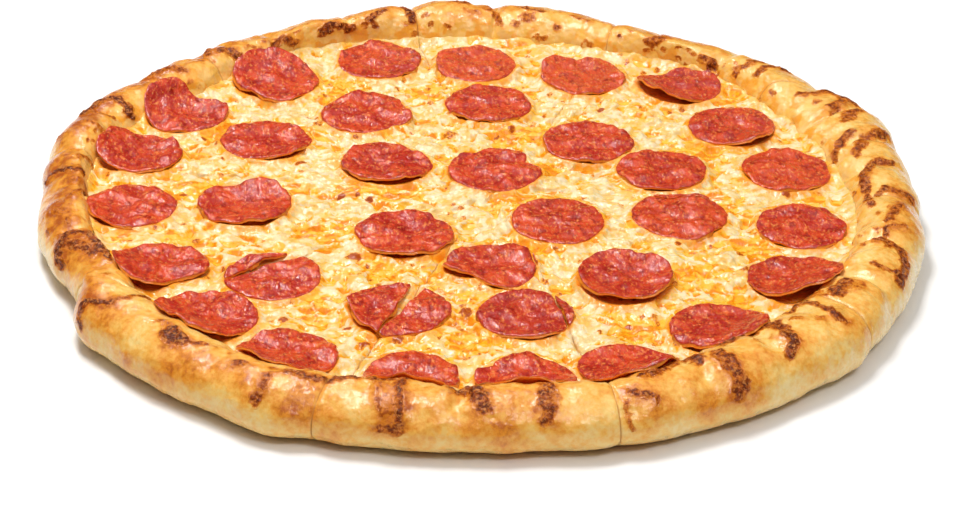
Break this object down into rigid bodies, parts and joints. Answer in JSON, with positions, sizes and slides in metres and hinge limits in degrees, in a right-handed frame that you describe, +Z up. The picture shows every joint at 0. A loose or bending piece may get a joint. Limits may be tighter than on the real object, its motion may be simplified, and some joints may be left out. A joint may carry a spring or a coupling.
{
  "type": "sausage pizza",
  "caption": "Round baked pizza cut in wedges, with a puffed browned rim, melted cheese and round cured sausage slices; made to lie flat on a plate or board.",
  "frame": {"origin": "centre of the bounding box in plan, on the flat underside", "axes": "+Z up out of the toppings, -Y towards the viewer of the picture, +X to the right"},
  "size_m": [0.3594, 0.3574, 0.0253],
  "materials": {
    "cheese_01": "melted cheese, soft sheen, oily",
    "cheese_02": "melted cheese, soft sheen, oily",
    "cheese_03": "melted cheese, soft sheen, oily",
    "cheese_04": "melted cheese, soft sheen, oily",
    "cheese_05": "melted cheese, soft sheen, oily",
    "cheese_06": "melted cheese, soft sheen, oily",
    "cheese_07": "melted cheese, soft sheen, oily",
    "cheese_08": "melted cheese, soft sheen, oily",
    "cheese_09": "melted cheese, soft sheen, oily",
    "cheese_10": "melted cheese, soft sheen, oily",
    "crust_01": "baked bread crust, golden with browned patches, slightly oily",
    "crust_02": "baked bread crust, golden with browned patches, slightly oily",
    "crust_03": "baked bread crust, golden with browned patches, slightly oily",
    "crust_04": "baked bread crust, golden with browned patches, slightly oily",
    "crust_05": "baked bread crust, golden with browned patches, slightly oily",
    "crust_06": "baked bread crust, golden with browned patches, slightly oily",
    "crust_07": "baked bread crust, golden with browned patches, slightly oily",
    "crust_08": "baked bread crust, golden with browned patches, slightly oily",
    "crust_09": "baked bread crust, golden with browned patches, slightly oily",
    "crust_10": "baked bread crust, golden with browned patches, slightly oily",
    "sausage_01": "cured sausage slice, oily",
    "sausage_02": "cured sausage slice, oily",
    "sausage_03": "cured sausage slice, oily",
    "sausage_04": "cured sausage slice, oily",
    "sausage_05": "cured sausage slice, oily",
    "sausage_06": "cured sausage slice, oily",
    "sausage_07": "cured sausage slice, oily",
    "sausage_08": "cured sausage slice, oily",
    "sausage_09": "cured sausage slice, oily",
    "sausage_10": "cured sausage slice, oily",
    "sausage_11": "cured sausage slice, oily",
    "sausage_12": "cured sausage slice, oily",
    "sausage_13": "cured sausage slice, oily",
    "sausage_14": "cured sausage slice, oily",
    "sausage_15": "cured sausage slice, oily",
    "sausage_16": "cured sausage slice, oily",
    "sausage_17": "cured sausage slice, oily",
    "sausage_18": "cured sausage slice, oily",
    "sausage_19": "cured sausage slice, oily",
    "sausage_20": "cured sausage slice, oily",
    "sausage_20_cut": "cured sausage slice, oily",
    "sausage_21": "cured sausage slice, oily",
    "sausage_22": "cured sausage slice, oily",
    "sausage_23": "cured sausage slice, oily",
    "sausage_24": "cured sausage slice, oily",
    "sausage_24_cut": "cured sausage slice, oily",
    "sausage_25": "cured sausage slice, oily",
    "sausage_25_cut": "cured sausage slice, oily",
    "sausage_26": "cured sausage slice, oily",
    "sausage_27": "cured sausage slice, oily",
    "sausage_28": "cured sausage slice, oily",
    "sausage_28_cut": "cured sausage slice, oily",
    "sausage_29": "cured sausage slice, oily",
    "sausage_29_cut": "cured sausage slice, oily",
    "sausage_30": "cured sausage slice, oily",
    "sausage_31": "cured sausage slice, oily",
    "sausage_32": "cured sausage slice, oily",
    "sausage_33": "cured sausage slice, oily",
    "sausage_34": "cured sausage slice, oily",
    "sausage_35": "cured sausage slice, oily"
  },
  "bodies": {
    "root": {"cheese_01": "cheese_01", "cheese_02": "cheese_02", "cheese_03": "cheese_03", "cheese_04": "cheese_04", "cheese_05": "cheese_05", "cheese_06": "cheese_06", "cheese_07": "cheese_07", "cheese_08": "cheese_08", "cheese_09": "cheese_09", "cheese_10": "cheese_10", "crust_01": "crust_01", "crust_02": "crust_02", "crust_03": "crust_03", "crust_04": "crust_04", "crust_05": "crust_05", "crust_06": "crust_06", "crust_07": "crust_07", "crust_08": "crust_08", "crust_09": "crust_09", "crust_10": "crust_10", "sausage_01": "sausage_01", "sausage_02": "sausage_02", "sausage_03": "sausage_03", "sausage_04": "sausage_04", "sausage_05": "sausage_05", "sausage_06": "sausage_06", "sausage_07": "sausage_07", "sausage_08": "sausage_08", "sausage_09": "sausage_09", "sausage_10": "sausage_10", "sausage_11": "sausage_11", "sausage_12": "sausage_12", "sausage_13": "sausage_13", "sausage_14": "sausage_14", "sausage_15": "sausage_15", "sausage_16": "sausage_16", "sausage_17": "sausage_17", "sausage_18": "sausage_18", "sausage_19": "sausage_19", "sausage_20": "sausage_20", "sausage_20_cut": "sausage_20_cut", "sausage_21": "sausage_21", "sausage_22": "sausage_22", "sausage_23": "sausage_23", "sausage_24": "sausage_24", "sausage_24_cut": "sausage_24_cut", "sausage_25": "sausage_25", "sausage_25_cut": "sausage_25_cut", "sausage_26": "sausage_26", "sausage_27": "sausage_27", "sausage_28": "sausage_28", "sausage_28_cut": "sausage_28_cut", "sausage_29": "sausage_29", "sausage_29_cut": "sausage_29_cut", "sausage_30": "sausage_30", "sausage_31": "sausage_31", "sausage_32": "sausage_32", "sausage_33": "sausage_33", "sausage_34": "sausage_34", "sausage_35": "sausage_35"}
  },
  "joints": []
}
